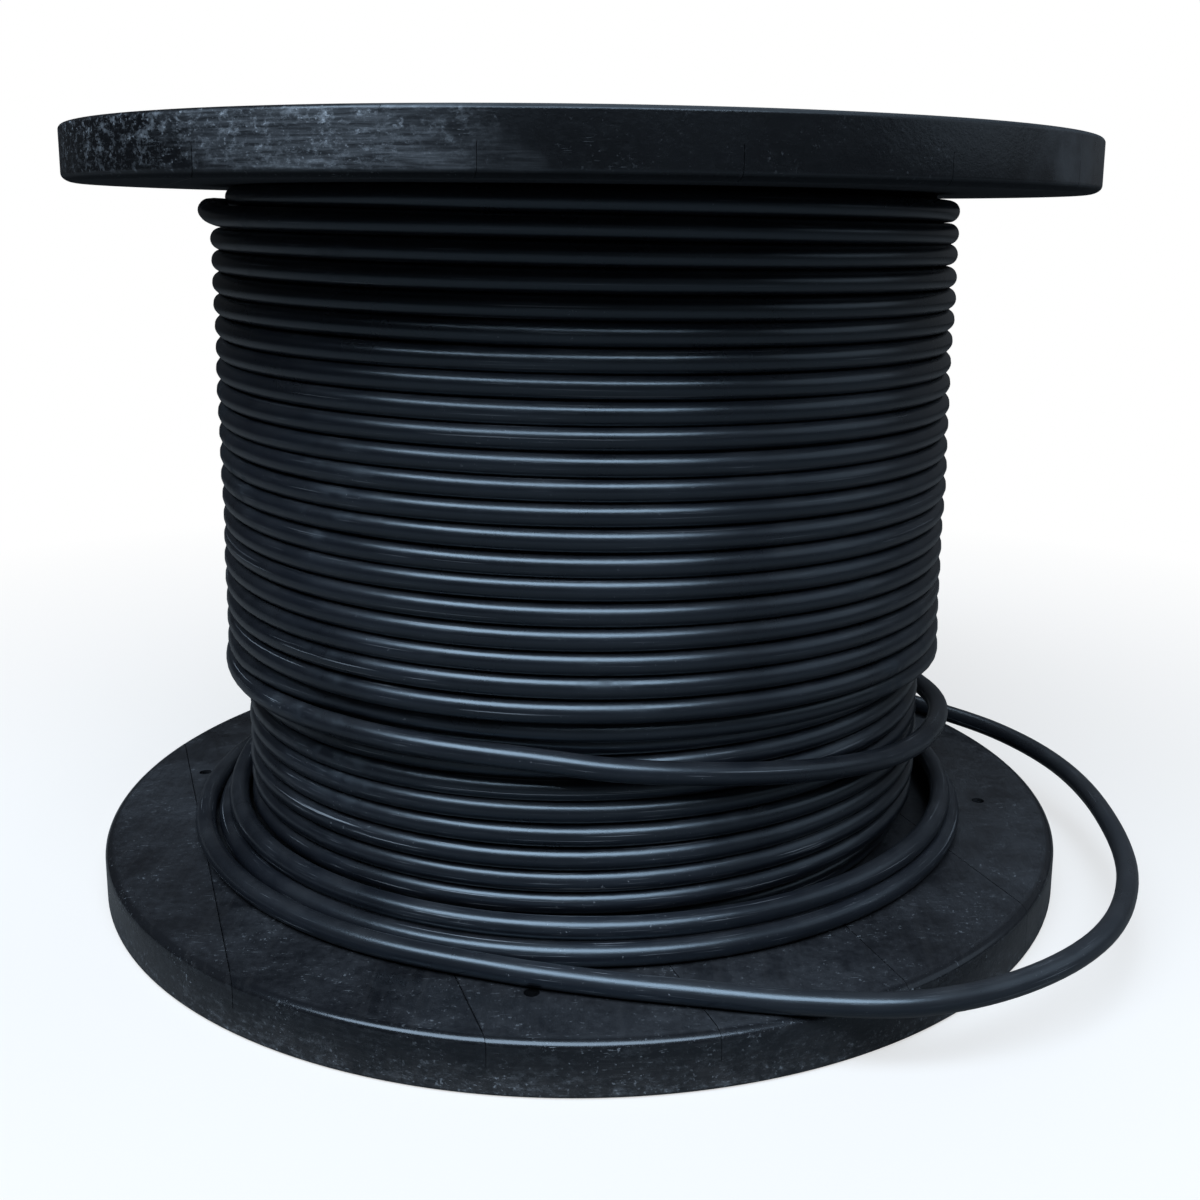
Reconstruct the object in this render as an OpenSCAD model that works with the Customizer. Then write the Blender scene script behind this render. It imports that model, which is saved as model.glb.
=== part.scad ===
// Wooden cable drum with a part-used winding of round cable.
// It stands on its lower flange, with the drum's axis along Z and the floor at z = 0.

/* [Flanges] */
// Diameter of both flanges
flange_d = 900; // [840:1:990]
// Thickness of one ply of boards, two plies to a flange
ply_t = 22.5; // [21:0.5:27]
// Inside width between the two flanges
traverse = 580; // [540:1:640]
// Width of the narrow board at the rim
narrow_board_w = 84; // [70:1:90]
// Width of the wide board at the opposite rim
wide_board_w = 188; // [180:1:200]
// Gap between neighbouring boards
board_gap = 0.4; // [0.2:0.1:1.6]
// Radius of the rounded rim edges
rim_round = 7; // [4:0.5:14]
// Direction across the inner-ply boards, in degrees
board_turn = 21; // [15:1:25]
// Diameter of the spindle hole
spindle_d = 82; // [60:1:90]

/* [Lashing holes] */
// Diameter of the small holes near the rim
lash_d = 12; // [8:0.5:14]
// Distance from the rim to the centre of a small hole
lash_inset = 63; // [56:0.5:66]
// Direction of the first small hole, in degrees
lash_turn = -3.7; // [-6:0.1:0]

/* [Barrel] */
// Outside diameter of the barrel
barrel_d = 442; // [400:1:470]
// Thickness of a stave
stave_t = 20; // [16:0.5:22]
// Gap between neighbouring staves
stave_gap = 1; // [0.5:0.1:2]
// Depth of the groove that holds the stave ends
groove_depth = 6; // [4:0.5:10]

/* [Tie rods] */
// Diameter of a tie rod
rod_d = 14; // [10:1:16]
// Pitch circle of the tie rods as a share of the barrel's diameter
rod_ring = 0.71; // [0.66:0.01:0.76]
// Washer diameter
washer_d = 44; // [36:1:46]
// Washer thickness
washer_t = 4; // [3:0.5:5]
// Nut width across the flats
nut_af = 22; // [20:1:24]
// Nut height
nut_h = 11; // [8:0.5:12]

/* [Cable] */
// Diameter of the cable
cable_d = 18.4; // [16:0.1:20]
// Gap between neighbouring turns
turn_gap = 0.2; // [0.1:0.1:0.6]
// Layers of cable on the barrel
layers = 7; // [4:1:7]
// Turns that are left in the outer layer
outer_turns = 22; // [12:1:22]
// Distance that the slack turns at the foot stand off the outer layer
slack_off = 12.5; // [12:0.5:16]

/* [Hidden] */
$fn = 96;
FLANGES = ["lower", "upper"];
PLIES = ["outer", "inner"];
BOARDS = 6;
STAVES = 20;
RODS = 4;
LASH_HOLES = 4;
CORD_SIDES = 10;
fit = 0.3;
flange_t = 2 * ply_t;
drum_h = traverse + 2 * flange_t;
lower_face = flange_t;
upper_face = flange_t + traverse;
seat_d = washer_d + 4;
seat_depth = washer_t + nut_h + 2;
rod_inset = 1;
board_w = (flange_d - narrow_board_w - wide_board_w) / (BOARDS - 2);
lash_r = flange_d / 2 - lash_inset;
rod_r = rod_ring * barrel_d / 2;
turn_pitch = cable_d + turn_gap;
layer_step = sqrt(cable_d * cable_d - turn_pitch * turn_pitch / 4);
outer_r = (barrel_d + cable_d) / 2 + fit + (layers - 1) * layer_step;
next_r = outer_r - layer_step;
first_z = upper_face - turn_pitch / 2;
next_turns = floor((traverse - turn_pitch) / turn_pitch);
outer_foot = first_z - (outer_turns - 1) * turn_pitch;
slack_r = outer_r + slack_off;
slack_shift = 7;
slack_gap = 0.4;
slack_step = 9.5;
slack_low = lower_face + cable_d / 2 + 0.1;
slack_rise = sqrt(pow(cable_d + slack_gap, 2) - slack_step * slack_step);

// The turn that leaves the outer layer and crosses the front: angle, radius, height over the flange.
CROSSING = [
    [190, 328.5, 161.5],
    [215, 328.5, 160],
    [240, 328.5, 161],
    [262, 328.5, 158],
    [276, 328.5, 149],
    [292, 328.5, 138],
    [310, 328.5, 123],
    [330, 331, 107],
    [346, 338, 102],
    [360, 342, 98],
    [385, 336, 90],
    [415, 330.5, 78],
    [450, 329.5, 66],
    [480, 330, 54],
    [510, 331, 44.5]
];

// The outermost turn, its loop past the rim and the loose end: angle, radius, height over the flange.
TAIL = [
    [165, 362, 9.4],
    [190, 362, 9.4],
    [215, 364, 9.4],
    [238, 366, 9.4],
    [256, 369, 9.4],
    [267, 379, 9.4],
    [276, 394, 9.4],
    [284, 414, 9.4],
    [293, 447, 9],
    [302, 482, 8],
    [312, 505, 7],
    [324, 518, 6],
    [336, 515, 6],
    [350, 501, 7],
    [366, 488, 8],
    [378, 469, 9],
    [390, 442, 9.4],
    [404, 426, 9.4],
    [420, 418, 9.4],
    [440, 413, 9.4],
    [465, 412, 9.4]
];

function board_name(f, p, i) = str(f, "_", p, "_board_", i);
function rod_name(i) = str("tie_rod_", i);

// Seam k of a ply, counted across its boards; the first and last boards run out to the rim.
function seam(k) =
    k == 0 ? -flange_d : k == BOARDS ? flange_d : narrow_board_w + (k - 1) * board_w - flange_d / 2;

// Cable route: a smooth curve through points of angle, radius and height.
function clamped(pts, i) = pts[min(max(i, 0), len(pts) - 1)];
function blend(a, b, c, d, t) =
    0.5 * (2 * b + (c - a) * t + (2 * a - 5 * b + 4 * c - d) * t * t + (3 * b - a - 3 * c + d) * t * t * t);
function route(pts, i, t) =
    blend(clamped(pts, i - 1), clamped(pts, i), clamped(pts, i + 1), clamped(pts, i + 2), t);
function placed(p) = [p[1] * cos(p[0]), p[1] * sin(p[0]), lower_face + p[2]];
function path(pts, steps) = concat(
    [for (i = [0:len(pts) - 2], k = [0:steps - 1]) placed(route(pts, i, k / steps))],
    [placed(pts[len(pts) - 1])]
);
function unit(v) = v / norm(v);
function ring(line, i) = let (
    along = unit(clamped(line, i + 1) - clamped(line, i - 1)),
    side = unit(cross(along, [0, 0, 1])),
    up = cross(side, along)
) [for (k = [0:CORD_SIDES - 1]) let (a = 360 * k / CORD_SIDES - 90)
    line[i] + cable_d / 2 * (side * cos(a) + up * sin(a))];

module tube(line) {
    rings = len(line);
    points = [for (i = [0:rings - 1]) each ring(line, i)];
    skin = [for (i = [0:rings - 2], k = [0:CORD_SIDES - 1]) let (
        a = i * CORD_SIDES + k,
        b = i * CORD_SIDES + (k + 1) % CORD_SIDES
    ) [a, a + CORD_SIDES, b + CORD_SIDES, b]];
    start = [for (k = [0:CORD_SIDES - 1]) k];
    end = [for (k = [CORD_SIDES - 1:-1:0]) (rings - 1) * CORD_SIDES + k];
    polyhedron(points, concat(skin, [start, end]), convexity = 10);
}

// Puts a piece drawn for the lower flange on the flange that is named.
module on_flange(f) {
    if (f == "upper") translate([0, 0, drum_h]) mirror([0, 0, 1]) children();
    else children();
}

module around(count, radius, turn) {
    for (k = [0:count - 1]) rotate([0, 0, turn + 360 * k / count]) translate([radius, 0, 0]) children();
}

// One ply as a disc, its rounded rim edge at the top.
module ply_disc() {
    rotate_extrude() {
        square([flange_d / 2 - rim_round, ply_t]);
        square([flange_d / 2, ply_t - rim_round]);
        translate([flange_d / 2 - rim_round, ply_t - rim_round]) intersection() {
            circle(r = rim_round);
            square(rim_round);
        }
    }
}

module slab(i) {
    from = seam(i - 1) + board_gap / 2;
    to = seam(i) - board_gap / 2;
    translate([from, -flange_d, -1]) cube([to - from, 2 * flange_d, ply_t + 2]);
}

module through_holes() {
    translate([0, 0, -1]) {
        cylinder(d = spindle_d, h = flange_t + 2);
        around(RODS, rod_r, board_turn) cylinder(d = rod_d + 2 * fit, h = flange_t + 2);
        around(LASH_HOLES, lash_r, lash_turn) cylinder(d = lash_d, h = flange_t + 2);
    }
}

module stave_groove() {
    translate([0, 0, flange_t - groove_depth]) difference() {
        cylinder(d = barrel_d + 2 * fit, h = groove_depth + 1);
        translate([0, 0, -1]) cylinder(d = barrel_d - 2 * stave_t - 2 * fit, h = groove_depth + 3);
    }
}

module nut_seats() {
    translate([0, 0, -1]) around(RODS, rod_r, board_turn) cylinder(d = seat_d, h = seat_depth + 1);
}

module board(f, p, i) {
    color("dimgray") on_flange(f) difference() {
        if (p == "inner") translate([0, 0, ply_t]) intersection() {
            ply_disc();
            rotate([0, 0, board_turn]) slab(i);
        }
        else translate([0, 0, ply_t]) mirror([0, 0, 1]) intersection() {
            ply_disc();
            rotate([0, 0, board_turn + 90]) slab(i);
        }
        through_holes();
        if (p == "inner") stave_groove();
        else nut_seats();
    }
}

module barrel_staves() {
    step = 360 / STAVES;
    open = 2 * asin(stave_gap / barrel_d);
    color("burlywood") for (k = [0:STAVES - 1]) rotate([0, 0, k * step + open / 2])
        translate([0, 0, lower_face - groove_depth]) rotate_extrude(angle = step - open)
            translate([barrel_d / 2 - stave_t, 0]) square([stave_t, traverse + 2 * groove_depth]);
}

module tie_rod(i) {
    color("silver") rotate([0, 0, board_turn + 360 * (i - 1) / RODS])
        translate([rod_r, 0, rod_inset]) cylinder(d = rod_d, h = drum_h - 2 * rod_inset);
}

module washers(f) {
    color("silver") on_flange(f) around(RODS, rod_r, board_turn)
        translate([0, 0, seat_depth - washer_t]) difference() {
            cylinder(d = washer_d, h = washer_t);
            translate([0, 0, -1]) cylinder(d = rod_d + 2 * fit, h = washer_t + 2);
        }
}

module nuts(f) {
    color("silver") on_flange(f) around(RODS, rod_r, board_turn)
        translate([0, 0, seat_depth - washer_t - nut_h]) difference() {
            cylinder(d = nut_af / cos(30), h = nut_h, $fn = 6);
            translate([0, 0, -1]) cylinder(d = rod_d + fit, h = nut_h + 2);
        }
}

// The winding as one turned solid: full layers inside, the turns of the two top layers in its outline.
module cable_winding() {
    bore_r = barrel_d / 2 + fit;
    color("darkslategray") rotate_extrude() {
        translate([bore_r, lower_face]) square([next_r - bore_r, traverse]);
        translate([bore_r, outer_foot]) square([outer_r - bore_r, first_z - outer_foot]);
        for (k = [0:outer_turns - 1])
            translate([outer_r, first_z - k * turn_pitch]) circle(d = cable_d);
        for (k = [outer_turns - 1:next_turns - 1])
            translate([next_r, first_z - (k + 0.5) * turn_pitch]) circle(d = cable_d);
    }
}

module crossing_turn() {
    color("darkslategray") tube(path(CROSSING, 3));
}

// Two slack turns, the upper one lying on the lower one and against the winding.
module slack_turns() {
    color("darkslategray") translate([slack_shift, 0, 0]) rotate_extrude() {
        translate([slack_r, slack_low + slack_rise]) circle(d = cable_d);
        translate([slack_r + slack_step, slack_low]) circle(d = cable_d);
    }
}

module cable_tail() {
    color("darkslategray") tube(path(TAIL, 2));
}

for (f = FLANGES, p = PLIES, i = [1:BOARDS])
    board(f, p, i);
barrel_staves();
for (i = [1:RODS]) tie_rod(i);
washers("lower");  // lower_washers
washers("upper");  // upper_washers
nuts("lower");  // lower_nuts
nuts("upper");  // upper_nuts
cable_winding();
crossing_turn();
slack_turns();
cable_tail();
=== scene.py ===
"""Wooden cable drum with a part-used winding of black cable."""
import math

import bmesh
import bpy
import numpy as np
from mathutils import Matrix, Vector
from mathutils.geometry import tessellate_polygon


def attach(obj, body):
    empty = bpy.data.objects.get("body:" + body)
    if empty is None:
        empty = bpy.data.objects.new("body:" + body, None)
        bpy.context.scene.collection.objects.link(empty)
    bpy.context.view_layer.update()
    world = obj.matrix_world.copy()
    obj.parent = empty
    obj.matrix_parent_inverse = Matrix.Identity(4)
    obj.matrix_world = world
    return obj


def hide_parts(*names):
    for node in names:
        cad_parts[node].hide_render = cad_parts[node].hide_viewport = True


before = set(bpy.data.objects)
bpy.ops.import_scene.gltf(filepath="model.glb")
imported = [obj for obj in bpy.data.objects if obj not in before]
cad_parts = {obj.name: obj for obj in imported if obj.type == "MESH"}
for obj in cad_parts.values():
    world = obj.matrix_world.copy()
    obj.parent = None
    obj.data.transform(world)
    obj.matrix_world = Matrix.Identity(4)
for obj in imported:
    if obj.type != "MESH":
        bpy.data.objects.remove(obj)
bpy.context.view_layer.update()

# Sizes in metres and angles in degrees, the same as in the part's source.
FLANGE_R = 0.450
PLY = 0.0225
LOW = 0.045  # inner face of the lower flange
HIGH = 0.625  # inner face of the upper flange
TOP = 0.670
TURN = 21.0  # direction that the inner boards lie across
SEAMS = (-0.366, -0.209, -0.052, 0.105, 0.262)
BOARD_GAP = 0.0004
SPINDLE_R = 0.041
ROD_HOLE_R = 0.0073
SEAT_R = 0.024
SEAT_DEPTH = 0.017
NUT_R = 0.1569
NUT_AZ = [math.radians(TURN + 90 * k) for k in range(4)]
LASH_R = 0.006
LASH_AT = 0.387
LASH_TURN = -3.7
CABLE_D = 0.0184
CABLE_R = CABLE_D / 2
OUTER_R = 0.3258  # middle of the outer layer's turns
NEXT_R = 0.3099  # middle of the turns of the layer below it
SLACK_R = 0.3383
SLACK_STEP = 0.0095
SLACK_SHIFT = 0.007
SLACK_LOW = 0.0543
SLACK_RISE = 0.01622

# Stretches of the free cable: angle in degrees, radius, and height over the lower flange's inner face.
CROSSING = [
    (190, 0.3285, 0.1615), (215, 0.3285, 0.160), (240, 0.3285, 0.161), (262, 0.3285, 0.158),
    (276, 0.3285, 0.149), (292, 0.3285, 0.138), (310, 0.3285, 0.123), (330, 0.331, 0.107),
    (346, 0.338, 0.102), (360, 0.342, 0.098), (385, 0.336, 0.090), (415, 0.3305, 0.078),
    (450, 0.3295, 0.066), (480, 0.330, 0.054), (510, 0.331, 0.0445), (532, 0.3315, 0.0355),
    (552, 0.3312, 0.0275),
]
BETWEEN_SLACK_TURNS = [
    (765, 0.3420, 0.0245), (790, 0.3410, 0.0215), (815, 0.3405, 0.0175), (840, 0.3405, 0.0135),
    (865, 0.3407, 0.0105),
]
OUTERMOST = [
    (1110, 0.3560, 0.0094), (1135, 0.3590, 0.0094), (1160, 0.3605, 0.0094), (1190, 0.3615, 0.0094),
    (1220, 0.3620, 0.0094),
]
TAIL = [
    (190, 0.362, 0.0094), (215, 0.364, 0.0094), (238, 0.366, 0.0094), (256, 0.369, 0.0094),
    (267, 0.379, 0.0094), (276, 0.394, 0.0094), (284, 0.414, 0.0094), (293, 0.447, 0.009),
    (302, 0.482, 0.008), (312, 0.505, 0.007), (324, 0.518, 0.006), (336, 0.515, 0.006),
    (350, 0.501, 0.007), (366, 0.488, 0.008), (378, 0.469, 0.009), (390, 0.442, 0.0094),
    (404, 0.426, 0.0094), (420, 0.418, 0.0094), (440, 0.413, 0.0094), (465, 0.412, 0.0094),
]
TAIL_TURNS = 3 * 360  # full turns of the cord before the tail's angles
UPPER_SLACK_DEG = range(575, 745, 20)
LOWER_SLACK_DEG = range(890, 1100, 20)
ROUTE_STEPS = 8
CORD_SIDES = 24

# The camera that fits the photo: its place, its turn in radians, and where its axis meets the picture.
CAMERA_AT = (0.0465, -1.3393, 0.6036)
CAMERA_YAW = 0.00067
CAMERA_PITCH = 0.19707
CAMERA_ROLL = 0.01117
CAMERA_LENS = 42.7545
SENSOR_WIDTH = 36
NEAREST = 0.02
PHOTO_SIZE = 1200
PHOTO_AXIS = (633.88, 500.29)


def make_camera():
    level = math.cos(CAMERA_PITCH)
    right = Vector((math.cos(CAMERA_YAW), math.sin(CAMERA_YAW), 0))
    ahead = Vector((-math.sin(CAMERA_YAW) * level, math.cos(CAMERA_YAW) * level, -math.sin(CAMERA_PITCH)))
    up = right.cross(ahead)
    rolled_right = right * math.cos(CAMERA_ROLL) + up * math.sin(CAMERA_ROLL)
    rolled_up = up * math.cos(CAMERA_ROLL) - right * math.sin(CAMERA_ROLL)
    camera = bpy.data.cameras.new("camera")
    holder = bpy.data.objects.new("camera", camera)
    bpy.context.collection.objects.link(holder)
    pose = Matrix((rolled_right, rolled_up, -ahead)).transposed().to_4x4()
    pose.translation = CAMERA_AT
    holder.matrix_world = pose
    camera.sensor_fit = "HORIZONTAL"
    camera.sensor_width = SENSOR_WIDTH
    camera.lens = CAMERA_LENS
    camera.shift_x = (PHOTO_SIZE / 2 - PHOTO_AXIS[0]) / PHOTO_SIZE
    camera.shift_y = (PHOTO_AXIS[1] - PHOTO_SIZE / 2) / PHOTO_SIZE
    camera.clip_start = NEAREST
    bpy.context.scene.camera = holder


make_camera()


# Geometry helpers

def smooth_route(points, steps):
    """A smooth curve through points, sampled steps times between neighbours."""
    knots = np.asarray(points, float)
    padded = np.vstack([knots[:1], knots, knots[-1:]])
    samples = []
    for i in range(len(knots) - 1):
        before, start, end, after = padded[i:i + 4]
        for k in range(steps):
            t = k / steps
            samples.append(0.5 * (2 * start + (end - before) * t
                                  + (2 * before - 5 * start + 4 * end - after) * t * t
                                  + (3 * start - before - 3 * end + after) * t ** 3))
    samples.append(knots[-1])
    return np.array(samples)


def placed(polar):
    """Points in space from rows of angle in degrees, radius and height."""
    angle = np.radians(polar[:, 0])
    return np.stack([polar[:, 1] * np.cos(angle), polar[:, 1] * np.sin(angle), polar[:, 2]], 1)


def waves(along, seed, periods, height):
    """A smooth seeded wobble along a path, as the sum of one wave for each period."""
    draw = np.random.default_rng(seed)
    part = height / len(periods)
    return sum(part * np.sin(2 * np.pi * along / period + draw.uniform(0, 6.28)) for period in periods)


def fade(values, start, span):
    """0 up to start, 1 from start + span on, and a straight rise between them."""
    return np.clip((values - start) / span, 0, 1)


def mesh_object(name, verts, faces, uv=None, smooth=True):
    mesh = bpy.data.meshes.new(name)
    mesh.from_pydata([tuple(vert) for vert in verts], [], [tuple(face) for face in faces])
    if uv is not None:
        layer = mesh.uv_layers.new(name="UVMap")
        corners = np.empty(len(mesh.loops), int)
        mesh.loops.foreach_get("vertex_index", corners)
        layer.data.foreach_set("uv", np.asarray(uv, float)[corners].ravel())
    mesh.polygons.foreach_set("use_smooth", [smooth] * len(mesh.polygons))
    mesh.update()
    obj = bpy.data.objects.new(name, mesh)
    bpy.context.collection.objects.link(obj)
    return obj


def tube(path, sides, caps=True):
    """Vertices, faces and UVs of a length of cable: u runs along it in metres, v round it in metres."""
    count = len(path)
    along = np.gradient(path, axis=0)
    along /= np.linalg.norm(along, axis=1)[:, None]
    side = np.cross(along, [0, 0, 1.0])
    side /= np.linalg.norm(side, axis=1)[:, None]
    up = np.cross(side, along)
    length = np.concatenate([[0], np.cumsum(np.linalg.norm(np.diff(path, axis=0), axis=1))])
    verts = []
    uv = []
    for angle in np.linspace(0, 2 * np.pi, sides + 1) + np.pi:
        verts.append(path + CABLE_R * (np.cos(angle) * side + np.sin(angle) * up))
        uv.append(np.stack([length, np.full(count, (angle - np.pi) * CABLE_R)], 1))
    verts = np.stack(verts, 1).reshape(-1, 3)
    uv = np.stack(uv, 1).reshape(-1, 2)
    row = sides + 1
    i, k = np.meshgrid(np.arange(count - 1), np.arange(sides), indexing="ij")
    first = (i * row + k).ravel()
    faces = np.stack([first, first + 1, first + row + 1, first + row], 1).tolist()
    if caps:
        faces.append(list(range(sides - 1, -1, -1)))
        faces.append([(count - 1) * row + k for k in range(sides)])
    return verts, faces, uv


def rings(profiles, count, closed=False):
    """Faces between neighbouring rings of count points each, and from the last to the first if closed."""
    faces = []
    for j in range(profiles if closed else profiles - 1):
        low = j * count
        high = (j + 1) % profiles * count
        for k in range(count):
            after = (k + 1) % count
            faces.append([low + k, low + after, high + after, high + k])
    return faces


def join_parts(parts):
    """One list of vertices, faces and UVs from several."""
    verts = []
    faces = []
    uv = []
    base = 0
    for part_verts, part_faces, part_uv in parts:
        verts.append(part_verts)
        uv.append(part_uv)
        faces += [[j + base for j in face] for face in part_faces]
        base += len(part_verts)
    return np.vstack(verts), faces, np.vstack(uv)


# The free cable: crossing turn, two slack turns, outermost turn, loop and tail as one cord.

def over_flange(stretch, turned=0):
    return [(angle + turned, radius, LOW + height) for angle, radius, height in stretch]


def slack_turn(degrees, radius, height):
    """Points of a turn that lies off the drum's middle."""
    return [(a, radius + SLACK_SHIFT * math.cos(math.radians(a)), height) for a in degrees]


def cord_route():
    points = over_flange(CROSSING)
    points += slack_turn(UPPER_SLACK_DEG, SLACK_R, SLACK_LOW + SLACK_RISE)
    points += over_flange(BETWEEN_SLACK_TURNS)
    points += slack_turn(LOWER_SLACK_DEG, SLACK_R + SLACK_STEP, SLACK_LOW)
    points += over_flange(OUTERMOST)
    points += over_flange(TAIL, TAIL_TURNS)
    return placed(smooth_route(points, ROUTE_STEPS))


CORD = cord_route()
cord = mesh_object("loose_cable", *tube(CORD, CORD_SIDES, caps=False))


# The winding: outer layer and the exposed turns of the layer below it.

LEAVE_DEG, LEAVE_R, LEAVE_RISE = CROSSING[0]  # where the crossing turn leaves the outer layer
OUTER_TURNS = 22.0
OUTER_PITCH = 0.01872
TOP_LIMIT = HIGH - CABLE_R
TOP_CLEAR = 0.0003
TOP_CALM = 0.004  # the wobble fades out over this height below the upper flange
END_CALM_DEG = 60  # and over this angle before the joint with the cord
END_DEG = 40  # over this angle the layer reaches the crossing turn's radius
START_SINK = 0.016  # the layer starts from the one below
START_DEG = 70
BULGE_AT_DEG = 352  # the turn that stands out at the upper left, as an angle from the start
BULGE_DEG = 15
BULGE_OUT = 0.015
BULGE_UP = 0.006
DIP = 0.009  # on the front, the lowest turn sinks towards the layer below
DIP_FROM_DEG = -150
DIP_TO_DEG = -20
DIP_RAMP_DEG = 25
STEP_DEG = 4.0
NEXT_TURNS = 8.2
NEXT_PITCH = 0.01865
NEXT_FOOT = 0.0188
NEXT_SIDES = 20
THIRD_TURNS = 1.6
THIRD_PITCH = 0.004
THIRD_CLEAR = 0.0002
THIRD_IN = 0.012
THIRD_STEP_DEG = 6.0
THIRD_SIDES = 16
CORE_DEG = 5.0
CORE_PROFILE = [  # radius and height
    (0.2215, LOW + 0.0002), (0.2980, LOW + 0.0002), (0.3000, LOW + 0.186), (0.3150, LOW + 0.190),
    (0.3150, HIGH - 0.0002), (0.2215, HIGH - 0.0002),
]


def outer_layer():
    """Turns from the upper flange down to the point where the crossing turn leaves."""
    deg = np.arange(LEAVE_DEG - 360 * OUTER_TURNS, LEAVE_DEG + 0.01, STEP_DEG)
    from_start = deg - deg[0]
    along = np.radians(from_start) * OUTER_R
    z = np.minimum(LOW + LEAVE_RISE + (LEAVE_DEG - deg) / 360 * OUTER_PITCH, TOP_LIMIT - TOP_CLEAR)
    calm = fade(-deg, -LEAVE_DEG, END_CALM_DEG)
    room = np.minimum(1, (TOP_LIMIT - z) / TOP_CALM)
    z = z + calm * waves(along, seed=11, periods=(0.61, 1.37, 2.9), height=0.0007) * room
    radius = OUTER_R + calm * waves(along, seed=12, periods=(0.43, 0.97, 2.3), height=0.0008)
    radius = radius + (LEAVE_R - OUTER_R) * fade(deg, LEAVE_DEG - END_DEG, END_DEG)
    radius = radius - START_SINK * (1 - fade(from_start, 0, START_DEG))
    bulge = np.exp(-((from_start - BULGE_AT_DEG) / BULGE_DEG) ** 2)
    radius = radius + BULGE_OUT * bulge
    z = z + BULGE_UP * bulge
    radius = radius - DIP * fade(deg, DIP_FROM_DEG, DIP_RAMP_DEG) * fade(-deg, -DIP_TO_DEG, DIP_RAMP_DEG)
    return tube(placed(np.stack([deg, radius, z], 1)), CORD_SIDES, caps=False)


def next_layer():
    """The layer below, exposed at the foot."""
    deg = np.arange(0, 360 * NEXT_TURNS, STEP_DEG)
    along = np.radians(deg) * NEXT_R
    z = LOW + NEXT_FOOT + deg / 360 * NEXT_PITCH
    z = z + waves(along, seed=13, periods=(0.5, 1.1, 2.7), height=0.0008)
    radius = NEXT_R + waves(along, seed=14, periods=(0.47, 1.3), height=0.0007)
    return tube(placed(np.stack([deg, radius, z], 1)), NEXT_SIDES)


def third_layer():
    """A turn of the third layer, which shows through the gap at the very foot."""
    deg = np.arange(0, 360 * THIRD_TURNS, THIRD_STEP_DEG)
    z = SLACK_LOW + THIRD_CLEAR + deg / 360 * THIRD_PITCH
    radius = np.full(len(deg), NEXT_R - THIRD_IN)
    return tube(placed(np.stack([deg, radius, z], 1)), THIRD_SIDES)


def closed_core():
    """A plain ring behind the turns, so that no light comes through."""
    angles = np.radians(np.arange(0, 360, CORE_DEG))
    verts = np.array([(r * math.cos(a), r * math.sin(a), z) for r, z in CORE_PROFILE for a in angles])
    return verts, rings(len(CORE_PROFILE), len(angles), closed=True), np.zeros((len(verts), 2))


coil = mesh_object("wound_cable", *join_parts([outer_layer(), next_layer(), third_layer(), closed_core()]))


# The cut end of the cable: jacket, four cores and their strands. Profiles are radius and reach past the cut.

JACKET_PROFILE = [
    (CABLE_R, 0), (CABLE_R - 0.0004, 0.0004), (CABLE_R - 0.0020, 0.0003), (CABLE_R - 0.0021, -0.0010),
]
CORE_END_PROFILE = [(0.0029, -0.0012), (0.0029, 0.0006), (0.0019, 0.0008)]
STRAND_PROFILE = [(0.0006, 0.0004), (0.0006, 0.0012), (0.0004, 0.0014)]
CORES_AT = 0.0040
STRANDS_AT = 0.0012
JACKET_SIDES = 32
CORE_SIDES = 20
STRAND_SIDES = 10


def cut_end():
    tip = CORD[-1]
    along = CORD[-1] - CORD[-2]
    along /= np.linalg.norm(along)
    side = np.cross(along, [0, 0, 1.0])
    side /= np.linalg.norm(side)
    up = np.cross(side, along)

    def lathe(across, over, profile, sides):
        angles = np.linspace(0, 2 * np.pi, sides, endpoint=False)
        verts = [tip + along * reach + side * (across + r * math.cos(a)) + up * (over + r * math.sin(a))
                 for r, reach in profile for a in angles]
        faces = rings(len(profile), sides)
        faces.append([(len(profile) - 1) * sides + k for k in range(sides)])
        return np.array(verts), faces, np.zeros((len(verts), 2))

    six = np.radians(range(0, 360, 60))
    ring_of_six = [(STRANDS_AT * math.cos(a), STRANDS_AT * math.sin(a)) for a in six]
    cores = []
    strands = []
    for k in range(4):
        turn = math.radians(45 + 90 * k)
        across = CORES_AT * math.cos(turn)
        over = CORES_AT * math.sin(turn)
        cores.append(lathe(across, over, CORE_END_PROFILE, CORE_SIDES))
        for strand_across, strand_over in [(0, 0), *ring_of_six]:
            strands.append(lathe(across + strand_across, over + strand_over, STRAND_PROFILE, STRAND_SIDES))
    return lathe(0, 0, JACKET_PROFILE, JACKET_SIDES), join_parts(cores), join_parts(strands)


END_NAMES = ("end_jacket", "end_cores", "end_copper")
end_jacket, end_cores, end_copper = (
    mesh_object(name, *shape, smooth=False) for name, shape in zip(END_NAMES, cut_end()))


# Boards with eased edges and rounded rims, in place of the tessellated ones.

RIM_ROUND = {"inner": (0.011, 0.007), "outer": (0.004, 0.004)}  # across and down the rounded edge
EASE = 0.0005
RIM_LAND = 0.0015  # ring of flat wood inside the rounded edge
EASE_LAND = 0.001
ARC_POINTS = (36, 15, 13, 13, 15, 60)
ROUND_DEG = range(10, 91, 10)  # steps of the rounded edge
BOARDS_PER_PLY = 6
HOLE_DEG = 10
HOLE_SIDES = 360 // HOLE_DEG
SHARP_DEG = 32  # faces that meet at more than this angle keep a sharp edge
LIFT_MOST = 0.0003  # boards lie up to this much lower than the ply's face
BOARD_SEED = 5


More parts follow.
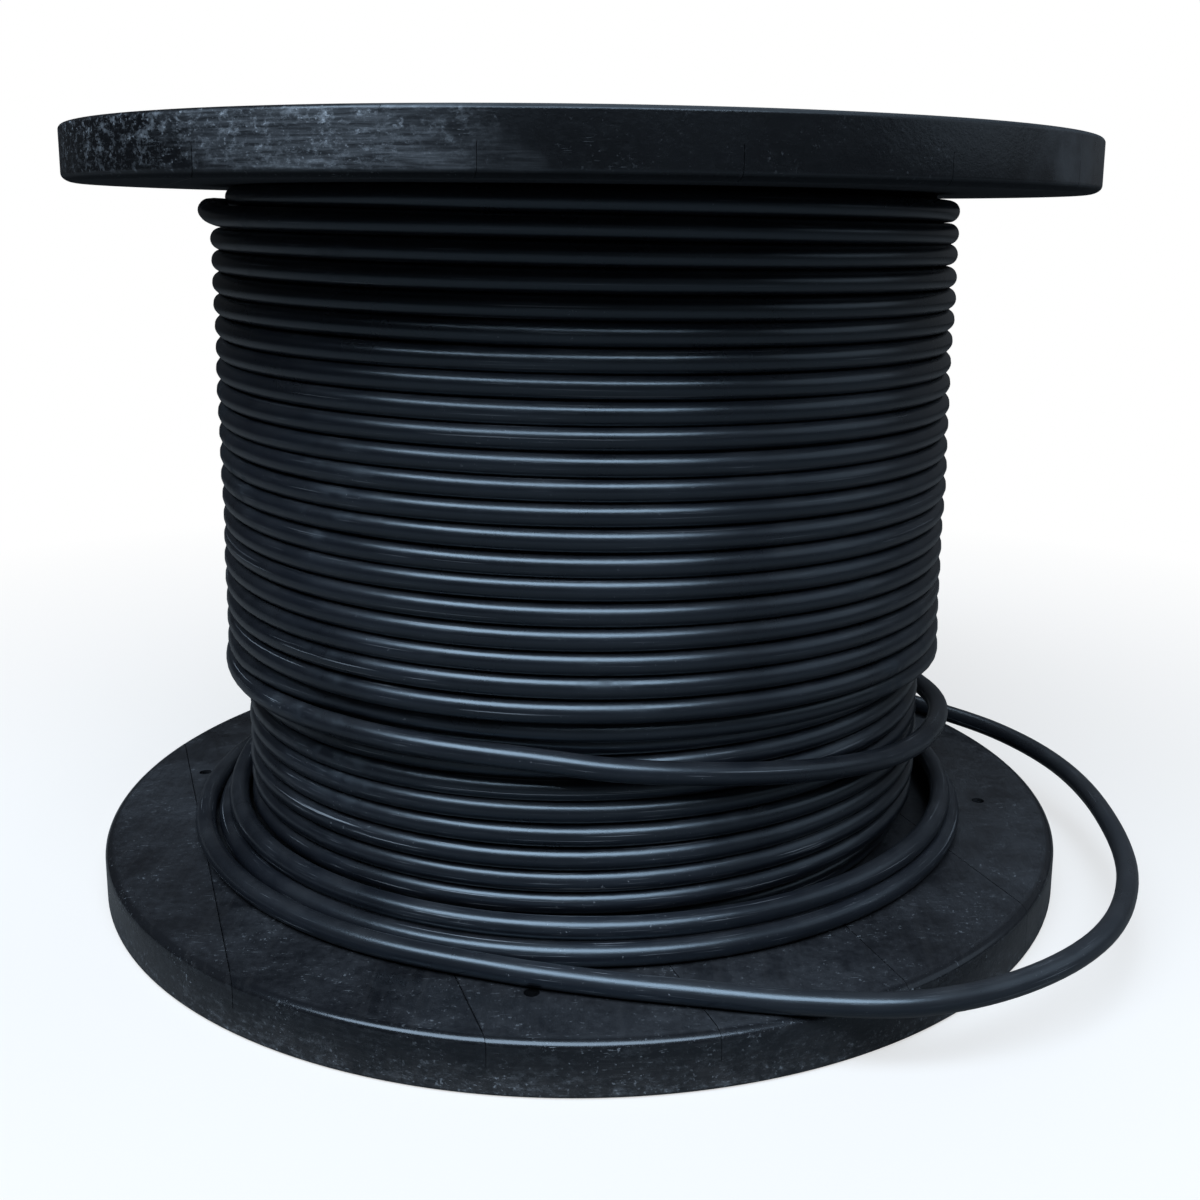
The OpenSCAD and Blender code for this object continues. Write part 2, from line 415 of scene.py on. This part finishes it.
def board_outline(i, inset, ease):
    """Outline of board i as points across and along the ply."""
    last_board = BOARDS_PER_PLY - 1
    r = FLANGE_R - inset
    edges = [-r, *SEAMS, r]
    first = -90.0 if i == 0 else math.degrees(math.asin((edges[i] + BOARD_GAP / 2 + ease) / r))
    last = 90.0 if i == last_board else math.degrees(math.asin((edges[i + 1] - BOARD_GAP / 2 - ease) / r))
    angles = np.radians(np.linspace(first, last, ARC_POINTS[i]))
    near = [(r * math.sin(a), -r * math.cos(a)) for a in angles]
    far = [(r * math.sin(a), r * math.cos(a)) for a in angles[::-1]]
    if i == last_board:
        far = far[1:]
    if i == 0:
        far = far[:-1]
    return near + far


def board_levels(ply):
    """Rings of a board from its foot up: inset from the rim, ease at the seams, and height."""
    across, down = RIM_ROUND[ply]
    levels = [(0.0, 0.0, 0.0), (0.0, 0.0, PLY - down)]
    for angle in np.radians(ROUND_DEG):
        drop = down * (1 - math.sin(angle))
        ease = EASE - math.sqrt(max(EASE ** 2 - max(EASE - drop, 0) ** 2, 0))
        levels.append((across * (1 - math.cos(angle)), ease, PLY - drop))
    levels.append((across + RIM_LAND, EASE + EASE_LAND, PLY))
    return levels


def board_holes(ply, turn):
    """Middle of each hole of the whole ply, and its radius and height from the top down."""
    holes = [(0.0, 0.0, [(SPINDLE_R, PLY), (SPINDLE_R, 0)])]
    for k in range(4):
        steps = [(ROD_HOLE_R, PLY), (ROD_HOLE_R, 0)]
        if ply == "outer":
            floor = PLY - SEAT_DEPTH
            steps = [(SEAT_R, PLY), (SEAT_R, floor), (ROD_HOLE_R, floor), (ROD_HOLE_R, 0)]
        angle = math.radians(90 * k)
        holes.append((NUT_R * math.cos(angle), NUT_R * math.sin(angle), steps))
        angle = math.radians(LASH_TURN + 90 * k) - turn
        steps = [(LASH_R, PLY), (LASH_R, 0)]
        holes.append((LASH_AT * math.cos(angle), LASH_AT * math.sin(angle), steps))
    return holes


def board(name, ply, i, middle, out, lift):
    """One board: out is +1 or -1, the side of the flange's middle plane that it lies on."""
    turn = math.radians(TURN + (90 if ply == "outer" else 0))
    levels = board_levels(ply)
    outlines = [board_outline(i, inset, ease) for inset, ease, _ in levels]
    count = len(outlines[0])
    points = [(a, b, height) for outline, (_, _, height) in zip(outlines, levels) for a, b in outline]
    faces = rings(len(levels), count)
    top = [list(range((len(levels) - 1) * count, len(levels) * count))]
    foot = [list(range(count))]
    edges = [-FLANGE_R, *SEAMS, FLANGE_R]
    for a, b, steps in board_holes(ply, turn):
        if not edges[i] < a < edges[i + 1]:
            continue
        loops = []
        for r, height in steps:
            loops.append(list(range(len(points), len(points) + HOLE_SIDES)))
            points += [(a + r * math.cos(angle), b + r * math.sin(angle), height)
                       for angle in np.radians(np.arange(0, 360, HOLE_DEG))]
        for one, two in zip(loops, loops[1:]):
            for k in range(HOLE_SIDES):
                after = (k + 1) % HOLE_SIDES
                faces.append([one[k], two[k], two[after], one[after]])
        top.append(loops[0])
        foot.append(loops[-1])
    for cap in (top, foot):
        flat = [j for loop in cap for j in loop]
        for tri in tessellate_polygon([[Vector((*points[j][:2], 0)) for j in loop] for loop in cap]):
            faces.append([flat[j] for j in tri])
    verts = [(a * math.cos(turn) - b * math.sin(turn), a * math.sin(turn) + b * math.cos(turn),
              middle + out * (height + (lift if height == PLY else 0))) for a, b, height in points]
    obj = mesh_object(name, verts, faces)
    shape = bmesh.new()
    shape.from_mesh(obj.data)
    bmesh.ops.recalc_face_normals(shape, faces=shape.faces)
    shape.to_mesh(obj.data)
    shape.free()
    obj.data.set_sharp_from_angle(angle=math.radians(SHARP_DEG))
    return obj


def flange_boards():
    found = {}
    draw = np.random.default_rng(BOARD_SEED)
    for flange, middle in (("lower", PLY), ("upper", HIGH + PLY)):
        for ply in ("outer", "inner"):
            out = 1 if (flange == "lower") == (ply == "inner") else -1
            for i in range(BOARDS_PER_PLY):
                lift = float(draw.uniform(-LIFT_MOST, 0.0))
                node = f"{flange}_{ply}_board_{i + 1}"
                found[node] = board(f"planed_{node}", ply, i, middle, out, lift)
    return found


BOARDS = flange_boards()


# Nail heads in rings on the outer faces, clear of the seams and the nuts.

NAIL_RINGS = ((0.110, 8), (0.222, 14), (0.318, 20), (0.424, 28))  # radius and count
NAIL_TWIST = 9  # turns each ring by its radius, so that the rings don't line up
NAIL_PROFILE = ((0.0050, -0.0006), (0.0050, 0.0001), (0.0042, 0.0004))
NAIL_SIDES = 14
SEAM_CLEAR = 0.011
NUT_CLEAR = 0.036


def nail_heads(z, out):
    across = math.radians(TURN + 90)
    angles = np.linspace(0, 2 * math.pi, NAIL_SIDES, endpoint=False)
    faces = rings(len(NAIL_PROFILE), NAIL_SIDES)
    last = (len(NAIL_PROFILE) - 1) * NAIL_SIDES
    faces.append(list(range(last, last + NAIL_SIDES)))
    faces = [face[::out] for face in faces]
    parts = []
    for ring, count in NAIL_RINGS:
        for k in range(count):
            a = 2 * math.pi * (k + 0.5) / count + ring * NAIL_TWIST
            x = ring * math.cos(a)
            y = ring * math.sin(a)
            place = x * math.cos(across) + y * math.sin(across)
            if min(abs(place - seam) for seam in SEAMS) < SEAM_CLEAR:
                continue
            if any(math.hypot(x - NUT_R * math.cos(b), y - NUT_R * math.sin(b)) < NUT_CLEAR for b in NUT_AZ):
                continue
            verts = [(x + r * math.cos(t), y + r * math.sin(t), z + out * rise)
                     for r, rise in NAIL_PROFILE for t in angles]
            parts.append((np.array(verts), faces, np.zeros((len(verts), 2))))
    return join_parts(parts)


upper_nails = mesh_object("upper_nails", *nail_heads(TOP, 1), smooth=False)
lower_nails = mesh_object("lower_nails", *nail_heads(0.0, -1), smooth=False)


# Materials

class Nodes:
    """A small builder for node materials, called m below. Values are numbers or other nodes' outputs."""

    def __init__(self, name):
        self.mat = bpy.data.materials.new(name)
        self.mat.use_nodes = True
        self.tree = self.mat.node_tree
        self.bsdf = self.tree.nodes["Principled BSDF"]

    def put(self, kind, **settings):
        node = self.tree.nodes.new(kind)
        for key, value in settings.items():
            setattr(node, key, value)
        return node

    def link(self, source, target):
        self.tree.links.new(source, target)

    def shader(self, name, value):
        """Give one of the shader's sockets a node's output or a value of its own."""
        self.value(self.bsdf, name, value)

    def value(self, node, name, value):
        if hasattr(value, "is_output"):
            self.link(value, node.inputs[name])
        else:
            node.inputs[name].default_value = value

    def math(self, operation, a, b=0.0, clamp=False):
        node = self.put("ShaderNodeMath", operation=operation, use_clamp=clamp)
        self.value(node, 0, a)
        self.value(node, 1, b)
        return node.outputs[0]

    def times(self, a, b):
        return self.math("MULTIPLY", a, b)

    def plus(self, a, b):
        return self.math("ADD", a, b)

    def minus(self, a, b):
        return self.math("SUBTRACT", a, b)

    def larger(self, a, b):
        return self.math("MAXIMUM", a, b)

    def facing(self, azimuth, turned, low, high, to_low=0.0, to_high=1.0):
        """A patch round the drum: to_low to to_high, as the cosine of azimuth + turned goes low to high."""
        return self.ramp(self.math("COSINE", self.plus(azimuth, turned)), low, high, to_low, to_high)

    def object_place(self):
        return self.put("ShaderNodeTexCoord").outputs["Object"]

    def split(self, vector):
        node = self.put("ShaderNodeSeparateXYZ")
        self.link(vector, node.inputs[0])
        return node.outputs

    def joined(self, x, y):
        node = self.put("ShaderNodeCombineXYZ")
        self.link(x, node.inputs[0])
        self.link(y, node.inputs[1])
        return node.outputs[0]

    def upward(self):
        """The normal's share along the drum's axis: 1 on faces that look up."""
        return self.split(self.put("ShaderNodeNewGeometry").outputs["Normal"])[2]

    def noise(self, vector, scale, detail=4.0, rough=0.55):
        node = self.put("ShaderNodeTexNoise")
        self.link(vector, node.inputs["Vector"])
        node.inputs["Scale"].default_value = scale
        node.inputs["Detail"].default_value = detail
        node.inputs["Roughness"].default_value = rough
        return node.outputs["Fac"]

    def scaled(self, vector, scale, turn=0.0):
        node = self.put("ShaderNodeMapping")
        self.link(vector, node.inputs["Vector"])
        node.inputs["Rotation"].default_value = (0, 0, math.radians(turn))
        node.inputs["Scale"].default_value = scale
        return node.outputs["Vector"]

    def ramp(self, source, low, high, to_low=0.0, to_high=1.0):
        node = self.put("ShaderNodeMapRange", clamp=True)
        self.link(source, node.inputs["Value"])
        for key, value in (("From Min", low), ("From Max", high), ("To Min", to_low), ("To Max", to_high)):
            node.inputs[key].default_value = value
        return node.outputs["Result"]

    def mix(self, share, a, b):
        node = self.put("ShaderNodeMix", data_type="RGBA")
        self.value(node, 0, share)
        self.value(node, 6, a if hasattr(a, "is_output") else (*a, 1))
        self.value(node, 7, b if hasattr(b, "is_output") else (*b, 1))
        return node.outputs[2]

    def bump(self, height, strength, distance):
        node = self.put("ShaderNodeBump")
        node.inputs["Strength"].default_value = strength
        node.inputs["Distance"].default_value = distance
        self.link(height, node.inputs["Height"])
        return node.outputs["Normal"]


JACKET_DARK = (0.0056, 0.0066, 0.0094)
JACKET_LIGHT = (0.0104, 0.0124, 0.0176)
JACKET_DUST_AND_SHEEN = (0.060, 0.064, 0.070)
JACKET_SCRATCH = (0.34, 0.37, 0.41)
# The bluish tint of the sheath's reflections is painted sky light.
JACKET_SKY_TINT = (0.70, 0.86, 1.0, 1)
TAIL_DUST_AND_SHEEN = 0.22


def cable_material():
    """Satin black sheath with dust, fine scratches along it and dull smudges."""
    m = Nodes("cable_jacket")
    pos = m.object_place()
    uv = m.put("ShaderNodeTexCoord").outputs["UV"]
    x, y, z = m.split(pos)
    up = m.upward()
    patch = m.noise(pos, 9.0, 5)
    fine = m.noise(m.scaled(uv, (14, 900, 1)), 1.0, 3)
    long_mark = m.noise(m.scaled(uv, (4, 420, 1)), 1.0, 2)
    speck = m.noise(pos, 420.0, 2)

    # Dust on top of the turns, and a lighter top on the tail, which lies outside the winding: partly dust,
    # partly a painted highlight that widens the tail's own.
    base = m.mix(m.ramp(patch, 0.35, 0.7), JACKET_DARK, JACKET_LIGHT)
    dust = m.times(m.ramp(up, 0.1, 0.95), m.ramp(m.noise(pos, 21.0, 6), 0.42, 0.72, 0.03, 0.3))
    reach = m.math("SQRT", m.plus(m.math("POWER", x, 2.0), m.math("POWER", y, 2.0)))
    loose_dust_and_sheen = m.times(m.ramp(reach, 0.362, 0.40), m.ramp(up, 0.0, 0.8, 0.0, TAIL_DUST_AND_SHEEN))
    base = m.mix(m.plus(dust, loose_dust_and_sheen), base, JACKET_DUST_AND_SHEEN)

    # Scratches, most of them low down and on the left.
    low = m.ramp(z, 0.16, 0.32, 1.0, 0.45)
    left = m.facing(m.math("ARCTAN2", y, x), 2.6, 0.2, 0.9, 0.7, 1.3)
    scratch = m.times(m.ramp(fine, 0.63, 0.72), m.ramp(patch, 0.42, 0.60))
    scratch = m.larger(scratch, m.times(m.ramp(long_mark, 0.67, 0.72), 0.8))
    scratch = m.larger(scratch, m.times(m.ramp(speck, 0.68, 0.76), m.ramp(patch, 0.45, 0.65)))
    scratch = m.math("MULTIPLY", scratch, m.times(low, left), clamp=True)
    m.shader("Base Color", m.mix(m.times(scratch, 0.6), base, JACKET_SCRATCH))

    smudge = m.times(m.ramp(m.noise(pos, 6.5, 4), 0.58, 0.68), m.ramp(m.noise(pos, 60.0, 4), 0.40, 0.60))
    smudge = m.times(smudge, m.ramp(z, 0.10, 0.16))
    rough = m.plus(m.ramp(patch, 0.3, 0.7, 0.25, 0.34), m.times(scratch, 0.2))
    m.shader("Roughness", m.plus(rough, m.times(smudge, 0.3)))
    height = m.plus(m.times(fine, 0.3), m.noise(m.scaled(uv, (60, 160, 1)), 1.0, 3))
    m.shader("Normal", m.bump(height, 0.25, 0.0004))
    m.shader("Specular IOR Level", 0.82)
    m.shader("Specular Tint", JACKET_SKY_TINT)
    return m.mat


PAINT_DARK = (0.0052, 0.0058, 0.0074)
PAINT_LIGHT = (0.0105, 0.0115, 0.0142)
PAINT_BOARD = (0.0150, 0.0150, 0.0165)
PAINT_GRAIN = (0.032, 0.032, 0.034)
PAINT_STREAK = (0.030, 0.031, 0.034)
PAINT_DUST = (0.024, 0.025, 0.029)
PAINT_SOIL = (0.075, 0.073, 0.076)
# Colour of the painted shade on the rims and undersides.
PAINT_SHADE = (0.0030, 0.0031, 0.0036)
# Colour of the scuffs, specks and nicks, and of the painted sheen.
PAINT_WORN_AND_SHEEN = (0.36, 0.40, 0.45)
# The bluish tint of the paint's reflections is painted sky light.
PAINT_SKY_TINT = (0.76, 0.88, 1.0, 1)


def paint_material(name, turn):
    """Worn black paint on boards that run across the direction turn, in degrees."""
    m = Nodes(name)
    pos = m.object_place()
    x, y, z = m.split(pos)
    up = m.upward()
    azimuth = m.math("ARCTAN2", y, x)
    who = m.put("ShaderNodeObjectInfo").outputs["Random"]
    shift = m.put("ShaderNodeVectorMath", operation="ADD")
    m.link(pos, shift.inputs[0])
    m.link(m.joined(m.times(who, 7.0), m.times(who, 3.0)), shift.inputs[1])
    own = shift.outputs[0]

    # Patterns: grain along the boards, clouds of dust, crumbs, specks, fine nicks, streaks and chalk.
    grain = m.noise(m.scaled(own, (150, 5, 150), -turn), 1.0, 6, 0.6)
    pores = m.noise(m.scaled(own, (520, 14, 520), -turn), 1.0, 3)
    mottle = m.noise(pos, 6.5, 7, 0.62)
    blot = m.noise(pos, 23.0, 6, 0.6)
    crumb = m.noise(pos, 130.0, 6, 0.7)
    speck = m.noise(pos, 300.0, 3)
    nick = m.larger(m.noise(m.scaled(pos, (60, 800, 800), 38), 1.0, 2),
                    m.noise(m.scaled(pos, (70, 900, 900), -57), 1.0, 2))
    streak = m.noise(m.joined(m.times(azimuth, 10.0), m.times(z, 360.0)), 1.0, 6, 0.68)
    chalk = m.noise(m.scaled(pos, (1, 1, 1.8)), 95.0, 12, 0.80)

    # Where: level faces, undersides, the upper flange, the rim, its rounded edge and the drum's foot.
    flat = m.math("ABSOLUTE", up)
    level = m.ramp(up, 0.93, 0.99)
    under = m.ramp(up, -0.95, -0.60, 1.0, 0.0)
    high = m.ramp(z, 0.3, 0.5)
    rim = m.ramp(flat, 0.35, 0.75, 1.0, 0.0)
    edge = m.times(m.ramp(flat, 0.25, 0.5), m.ramp(flat, 0.93, 0.98, 1.0, 0.0))
    foot = m.ramp(z, 0.001, 0.033, 1.0, 0.0)
    # The upper rim is rubbed at the left and behind, and cleaner than the lower one elsewhere.
    rub = m.larger(m.facing(azimuth, 2.55, 0.61, 0.80), m.facing(azimuth, -1.2, 0.6, 0.95, 0.0, 0.7))
    rub = m.times(m.times(rub, high), m.ramp(z, 0.630, 0.664, 0.45, 1.0))
    handled = m.ramp(z, 0.3, 0.5, 1.0, 0.2)
    zone = m.larger(m.larger(rub, m.times(foot, 0.6)), m.times(handled, 0.14))

    # Paint, dust and soil, then painted shade.
    base = m.mix(m.ramp(mottle, 0.35, 0.7), PAINT_DARK, PAINT_LIGHT)
    base = m.mix(m.times(who, 0.35), base, PAINT_BOARD)
    base = m.mix(m.times(m.ramp(grain, 0.52, 0.75), 0.35), base, PAINT_GRAIN)
    drag = m.times(m.ramp(streak, 0.48, 0.74, 0.0, 0.5), m.ramp(z, 0.3, 0.5, 1.0, 0.45))
    base = m.mix(m.times(rim, drag), base, PAINT_STREAK)
    cloud = m.times(m.plus(blot, mottle), 0.5)
    cloud = m.plus(cloud, m.times(m.minus(crumb, 0.5), 0.45))
    dust = m.times(level, m.ramp(cloud, 0.38, 0.68, 0.05, 0.85))
    base = m.mix(dust, base, PAINT_DUST)
    soil = m.times(m.ramp(m.plus(blot, m.times(crumb, 0.8)), 0.72, 1.05, 0.15, 1.0), foot)
    soil = m.times(m.times(soil, rim), m.ramp(streak, 0.36, 0.58, 0.55, 1.0))
    base = m.mix(soil, base, PAINT_SOIL)
    # Painted shade: the rims darker, the upper rim and its rounded edge most where they are not rubbed, and
    # the undersides darker still.
    shade_depth = m.minus(0.85, m.times(rub, 0.40))
    painted_shade = m.times(m.times(m.larger(rim, edge), high), shade_depth)
    painted_shade = m.larger(m.larger(painted_shade, m.times(rim, 0.35)), m.times(under, 0.7))
    base = m.mix(painted_shade, base, PAINT_SHADE)

    # Bare and chalky places: haze, rubbed lines, specks and nicks; and painted sheen on the upper rim, a
    # wide patch towards the left and a small one at the right.
    haze = m.times(m.ramp(chalk, 0.50, 0.64), m.ramp(blot, 0.32, 0.60, 0.18, 0.50))
    lines = m.times(m.ramp(streak, 0.58, 0.70), m.ramp(crumb, 0.46, 0.60))
    lines = m.times(m.times(lines, m.ramp(mottle, 0.36, 0.58)), 0.7)
    slant = m.plus(m.times(z, 2.7), m.times(blot, 0.3))
    # Painted sheen: a lighter band on the upper rim towards the left, standing for a reflection of the sky.
    painted_sheen_left = m.facing(m.plus(azimuth, slant), 0.04, 0.955, 0.992)
    painted_sheen_left = m.times(m.times(painted_sheen_left, high), m.ramp(streak, 0.40, 0.66, 0.03, 0.19))
    # Painted sheen: a lighter patch at the right end of the upper rim.
    painted_sheen_right = m.facing(azimuth, 0.52, 0.960, 0.992)
    painted_sheen_right = m.times(m.times(painted_sheen_right, high), m.ramp(blot, 0.34, 0.62, 0.03, 0.13))
    scuff_and_sheen = m.times(zone, m.larger(haze, lines))
    scuff_and_sheen = m.times(rim, m.plus(scuff_and_sheen, m.plus(painted_sheen_left, painted_sheen_right)))
    spot = m.times(m.ramp(speck, 0.63, 0.70), m.ramp(blot, 0.44, 0.60))
    cut = m.times(m.ramp(nick, 0.69, 0.73), m.ramp(blot, 0.47, 0.60))
    share = m.times(handled, m.ramp(rim, 0.0, 1.0, 0.16, 0.32))
    spot = m.times(m.larger(spot, cut), m.plus(share, m.times(zone, 0.55)))
    fleck = m.times(m.ramp(speck, 0.54, 0.64), m.ramp(chalk, 0.50, 0.58))
    fleck = m.times(fleck, m.times(m.larger(rub, m.times(foot, 0.65)), rim))
    wear_and_sheen = m.larger(m.larger(scuff_and_sheen, spot), m.times(fleck, 0.8))
    m.shader("Base Color", m.mix(wear_and_sheen, base, PAINT_WORN_AND_SHEEN))

    # Dust, wear, the painted sheens, undersides and the clean part of the upper rim's edge are dull.
    rough = m.plus(m.ramp(mottle, 0.3, 0.7, 0.22, 0.33), m.times(dust, 0.48))
    rough = m.plus(rough, m.times(m.larger(wear_and_sheen, soil), 0.35))
    dull = m.times(high, m.minus(0.56, m.times(rub, 0.50)))
    rough = m.plus(rough, m.times(edge, m.minus(dull, 0.06)))
    m.shader("Roughness", m.math("ADD", rough, m.times(under, 0.65), clamp=True))
    height = m.plus(m.plus(grain, m.times(pores, 0.5)), m.times(blot, 0.6))
    height = m.plus(height, m.times(crumb, 0.5))
    height = m.times(height, m.minus(1.0, m.times(edge, 0.85)))
    m.shader("Normal", m.bump(height, 0.30, 0.0010))
    m.shader("Specular IOR Level", 0.60)
    m.shader("Specular Tint", PAINT_SKY_TINT)
    return m.mat


WOOD_LIGHT = (0.44, 0.29, 0.15)
WOOD_DARK = (0.23, 0.13, 0.06)
WOOD_FIBRE = (0.16, 0.10, 0.05)


def wood_material():
    m = Nodes("stave_wood")
    pos = m.object_place()
    grain = m.noise(m.scaled(pos, (90, 90, 4)), 1.0, 6, 0.6)
    fibre = m.noise(m.scaled(pos, (420, 420, 12)), 1.0, 3)
    base = m.mix(m.ramp(grain, 0.35, 0.68), WOOD_LIGHT, WOOD_DARK)
    m.shader("Base Color", m.mix(m.times(m.ramp(fibre, 0.5, 0.7), 0.4), base, WOOD_FIBRE))
    m.shader("Roughness", m.ramp(grain, 0.3, 0.7, 0.6, 0.8))
    m.shader("Normal", m.bump(m.plus(grain, fibre), 0.4, 0.001))
    return m.mat


STEEL_LIGHT = (0.38, 0.37, 0.35)
STEEL_DARK = (0.24, 0.235, 0.23)
STEEL_RUST = (0.13, 0.055, 0.025)


def steel_material():
    m = Nodes("steel")
    pos = m.object_place()
    rust = m.ramp(m.noise(pos, 60.0, 6, 0.65), 0.48, 0.62)
    fine = m.noise(pos, 500.0, 3)
    base = m.mix(m.ramp(fine, 0.35, 0.65), STEEL_LIGHT, STEEL_DARK)
    m.shader("Base Color", m.mix(m.times(rust, 0.85), base, STEEL_RUST))
    m.shader("Metallic", m.minus(0.9, m.times(rust, 0.8)))
    m.shader("Roughness", m.plus(0.38, m.times(rust, 0.4)))
    m.shader("Normal", m.bump(m.plus(fine, rust), 0.25, 0.0005))
    return m.mat


NAIL_STEEL = (0.16, 0.16, 0.165)
NAIL_RUST = (0.075, 0.036, 0.020)
NAIL_PAINT = (0.014, 0.0145, 0.016)


def nail_material():
    """Painted over, with bare and rusty places."""
    m = Nodes("nail_heads")
    pos = m.object_place()
    bare = m.ramp(m.noise(pos, 160.0, 4), 0.46, 0.60)
    rust = m.ramp(m.noise(pos, 45.0, 5), 0.42, 0.58)
    m.shader("Base Color", m.mix(bare, NAIL_PAINT, m.mix(rust, NAIL_STEEL, NAIL_RUST)))
    m.shader("Metallic", m.times(bare, m.minus(0.8, m.times(rust, 0.6))))
    m.shader("Roughness", m.ramp(rust, 0.0, 1.0, 0.42, 0.7))
    return m.mat


def plain_material(name, low, high, rough, metal=0.0):
    m = Nodes(name)
    tone = m.noise(m.object_place(), 700.0, 4)
    m.shader("Base Color", m.mix(m.ramp(tone, 0.3, 0.7), low, high))
    m.shader("Roughness", m.ramp(tone, 0.3, 0.7, rough, rough + 0.15))
    m.shader("Metallic", metal)
    return m.mat


CABLE = cable_material()
PAINT = {"inner": paint_material("paint_inner", TURN), "outer": paint_material("paint_outer", TURN + 90)}
WOOD = wood_material()
STEEL = steel_material()
NAILS = nail_material()
INSULATION = plain_material("core_insulation", (0.62, 0.60, 0.55), (0.50, 0.48, 0.43), 0.4)
COPPER = plain_material("copper", (0.72, 0.33, 0.17), (0.45, 0.19, 0.09), 0.3, 1.0)


# The solids that stay in view, and the pieces that are added or stand in for solids.

for name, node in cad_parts.items():
    if name == "barrel_staves":
        mat = WOOD
    elif name.startswith("tie_rod") or name.endswith(("washers", "nuts")):
        mat = STEEL
    else:
        continue
    node.data.materials.clear()
    node.data.materials.append(mat)

for obj, mat, slot in (
        (end_jacket, CABLE, "cable_jacket"), (end_cores, INSULATION, None), (end_copper, COPPER, None),
        (upper_nails, NAILS, "steel"), (lower_nails, NAILS, "steel")):
    obj.data.materials.append(mat)
    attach(obj, "root")
for solid, obj in BOARDS.items():
    obj.data.materials.append(PAINT["inner" if "_inner_" in solid else "outer"])
    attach(obj, "root")
    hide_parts(solid)
coil.data.materials.append(CABLE)
cord.data.materials.append(CABLE)
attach(coil, "root")
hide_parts("cable_winding")
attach(cord, "root")
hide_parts("crossing_turn", "slack_turns", "cable_tail")


# Floor and light: plain white for the camera, and dim for light and reflections, as round the real drum.

FLOOR_HALF = 6.0
FLOOR_DIM = (0.14, 0.14, 0.14)
FLOOR_SEEN = (0.80, 0.80, 0.80)
FLOOR_ROUGH = 0.95
FLOOR_SPECULAR = 0.1
SHADOW_NEAR = 0.55  # the floor's shadow fades out between these distances from the drum's middle
SHADOW_FAR = 1.6
SHADOW_GLOW = 0.62  # share of plain white in the floor near the drum
SKY_COLOUR = (0.82, 0.90, 1.0, 1)
SKY_FALL = (("From Min", -1.0), ("From Max", 0.6), ("To Min", 0.012), ("To Max", 0.085))  # left to right
LAMPS = (  # name, place, aim, size, watts, colour
    ("sky", (-0.50, -1.90, 3.1), (0, 0, 0.3), (5.0, 2.0), 212, (0.74, 0.87, 1.0)),
    ("side", (2.6, -0.4, 1.6), (0, 0, 0.3), (2.4, 2.0), 5, (0.76, 0.88, 1.0)),
    ("back", (0.3, 1.6, 3.9), (0, 0.1, 0.2), (2.4, 1.8), 42, (0.80, 0.90, 1.0)),
)


def make_floor():
    half = FLOOR_HALF
    corners = [(-half, -half, 0), (half, -half, 0), (half, half, 0), (-half, half, 0)]
    floor = mesh_object("floor", corners, [(0, 1, 2, 3)], smooth=False)
    m = Nodes("floor")
    far = m.put("ShaderNodeVectorMath", operation="LENGTH")
    m.link(m.object_place(), far.inputs[0])
    rays = m.put("ShaderNodeLightPath").outputs["Is Camera Ray"]
    m.shader("Base Color", m.mix(rays, FLOOR_DIM, FLOOR_SEEN))
    m.shader("Roughness", FLOOR_ROUGH)
    m.shader("Specular IOR Level", FLOOR_SPECULAR)
    glow = m.put("ShaderNodeEmission")
    both = m.put("ShaderNodeMixShader")
    share = m.ramp(far.outputs["Value"], SHADOW_NEAR, SHADOW_FAR, SHADOW_GLOW, 1.0)
    m.link(m.times(rays, share), both.inputs[0])
    m.link(m.bsdf.outputs[0], both.inputs[1])
    m.link(glow.outputs[0], both.inputs[2])
    m.link(both.outputs[0], m.tree.nodes["Material Output"].inputs[0])
    floor.data.materials.append(m.mat)


def make_world():
    """A dim sky that is brighter towards the right, and plain white where the camera sees it."""
    world = bpy.data.worlds.new("world")
    bpy.context.scene.world = world
    world.use_nodes = True
    nodes = world.node_tree.nodes
    links = world.node_tree.links
    dim = nodes["Background"]
    dim.inputs["Color"].default_value = SKY_COLOUR
    place = nodes.new("ShaderNodeTexCoord")
    parts = nodes.new("ShaderNodeSeparateXYZ")
    fall = nodes.new("ShaderNodeMapRange")
    for key, value in SKY_FALL:
        fall.inputs[key].default_value = value
    links.new(place.outputs["Generated"], parts.inputs[0])
    links.new(parts.outputs[0], fall.inputs["Value"])
    links.new(fall.outputs[0], dim.inputs["Strength"])
    white = nodes.new("ShaderNodeBackground")
    white.inputs["Color"].default_value = (1, 1, 1, 1)
    white.inputs["Strength"].default_value = 1.0
    rays = nodes.new("ShaderNodeLightPath")
    mix = nodes.new("ShaderNodeMixShader")
    links.new(rays.outputs["Is Camera Ray"], mix.inputs[0])
    links.new(dim.outputs[0], mix.inputs[1])
    links.new(white.outputs[0], mix.inputs[2])
    links.new(mix.outputs[0], nodes["World Output"].inputs[0])


def make_lamp(name, place, aim, size, watts, colour):
    light = bpy.data.lights.new(name, "AREA")
    light.shape = "ELLIPSE"
    light.size, light.size_y = size
    light.energy = watts
    light.color = colour
    lamp = bpy.data.objects.new(name, light)
    lamp.location = place
    lamp.rotation_euler = (Vector(aim) - Vector(place)).to_track_quat("-Z", "Y").to_euler()
    bpy.context.collection.objects.link(lamp)


make_floor()
make_world()
for lamp in LAMPS:
    make_lamp(*lamp)
bpy.context.scene.view_settings.view_transform = "Standard"
